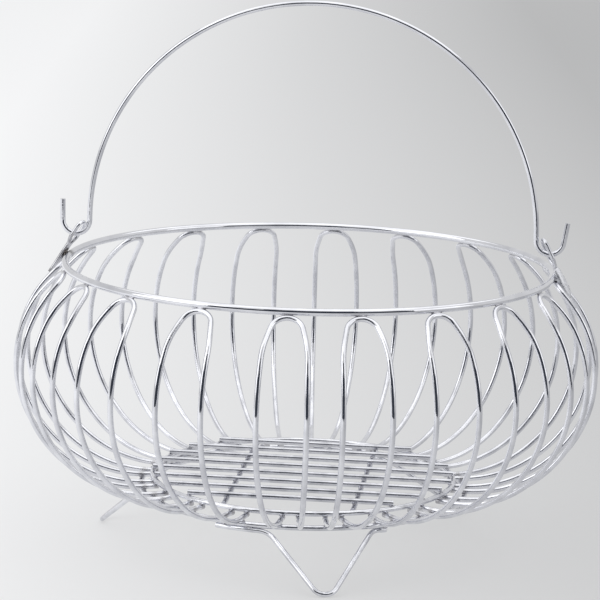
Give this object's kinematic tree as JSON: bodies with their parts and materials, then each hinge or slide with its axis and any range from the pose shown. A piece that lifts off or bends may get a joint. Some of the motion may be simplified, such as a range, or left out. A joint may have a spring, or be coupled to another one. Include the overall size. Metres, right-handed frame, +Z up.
{
  "type": "hanging fruit basket",
  "caption": "Round-bellied fruit basket of bright bent wire: looped sides between a rim and base rings, a wire floor, V-shaped wire feet and a bail that swings in eyes on the rim.",
  "frame": {"origin": "on the floor under the feet, below the centre of the rim", "axes": "+Z up, +X along the bail's pivot line through both ears, -Y is the front, with the front foot"},
  "size_m": [0.325, 0.3253, 0.3037],
  "materials": {
    "bright_wire": "bright plated steel wire with dark burn marks at the ear welds",
    "bail_wire": "bright plated steel wire"
  },
  "bodies": {
    "basket": {"rim_ring": "bright_wire", "side_hairpin_01": "bright_wire", "side_hairpin_02": "bright_wire", "side_hairpin_03": "bright_wire", "side_hairpin_04": "bright_wire", "side_hairpin_05": "bright_wire", "side_hairpin_06": "bright_wire", "side_hairpin_07": "bright_wire", "side_hairpin_08": "bright_wire", "side_hairpin_09": "bright_wire", "side_hairpin_10": "bright_wire", "side_hairpin_11": "bright_wire", "side_hairpin_12": "bright_wire", "side_hairpin_13": "bright_wire", "side_hairpin_14": "bright_wire", "side_hairpin_15": "bright_wire", "side_hairpin_16": "bright_wire", "side_hairpin_17": "bright_wire", "side_hairpin_18": "bright_wire", "side_hairpin_19": "bright_wire", "side_hairpin_20": "bright_wire", "base_outer_ring": "bright_wire", "base_inner_ring": "bright_wire", "floor_wire_1": "bright_wire", "floor_wire_2": "bright_wire", "floor_wire_3": "bright_wire", "floor_wire_4": "bright_wire", "floor_wire_5": "bright_wire", "floor_wire_6": "bright_wire", "floor_wire_7": "bright_wire", "floor_wire_8": "bright_wire", "floor_cross_left": "bright_wire", "floor_cross_right": "bright_wire", "foot_front": "bright_wire", "foot_right": "bright_wire", "foot_left": "bright_wire", "ear_left": "bright_wire", "ear_right": "bright_wire"},
    "bail": {"bail_handle": "bail_wire"}
  },
  "joints": [
    {"name": "bail_swing", "type": "hinge", "parent": "basket", "child": "bail", "pos_m": [0, 0, 0.16886], "axis": [1, 0, 0], "range_deg": [-93.5, 93.5]}
  ]
}
